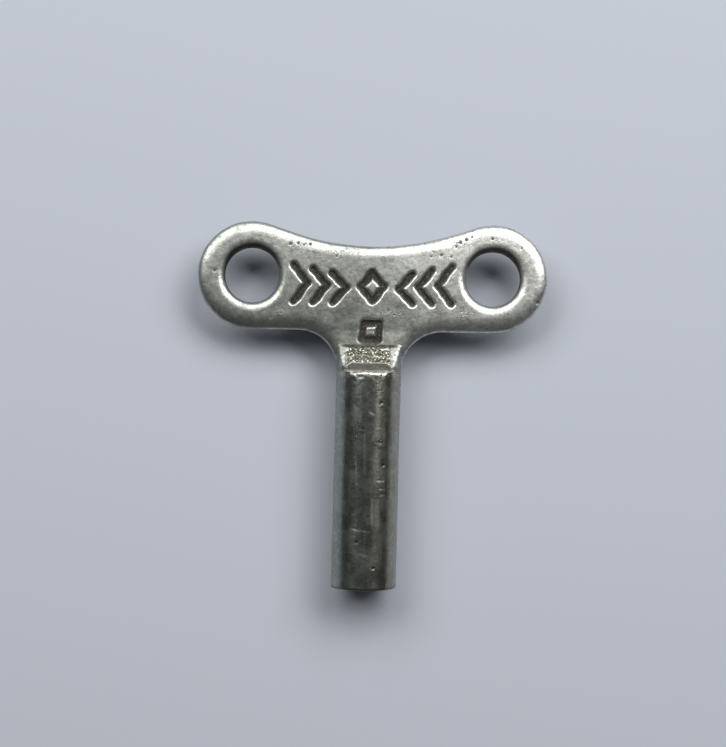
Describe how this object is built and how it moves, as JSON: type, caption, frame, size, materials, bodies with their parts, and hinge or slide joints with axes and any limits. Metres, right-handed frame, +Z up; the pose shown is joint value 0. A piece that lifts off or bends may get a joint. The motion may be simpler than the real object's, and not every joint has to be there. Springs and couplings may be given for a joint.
{
  "type": "radiator bleed key",
  "caption": "T-shaped hand key with a flat waisted bow, two ring eyes, a round shank and a square socket in its end, for turning a square valve stem.",
  "frame": {"origin": "centre of the base of the key's box as it lies flat, so the shank rests on z = 0", "axes": "+Z up, square to the bow's flat faces; +Y along the shank, from the socket's mouth to the bow; +X from one ring eye to the other"},
  "size_m": [0.0492, 0.0514, 0.0091],
  "materials": {
    "bow_plated_cast": "worn, grainy nickel plate on a casting, with brown soil in the marks",
    "shank_plated_steel": "worn satin nickel plate with fine scratches along the tube",
    "braze": "dull plated braze metal"
  },
  "bodies": {
    "root": {"bow": "bow_plated_cast", "shank_tube": "shank_plated_steel", "neck_braze": "braze"}
  },
  "joints": []
}
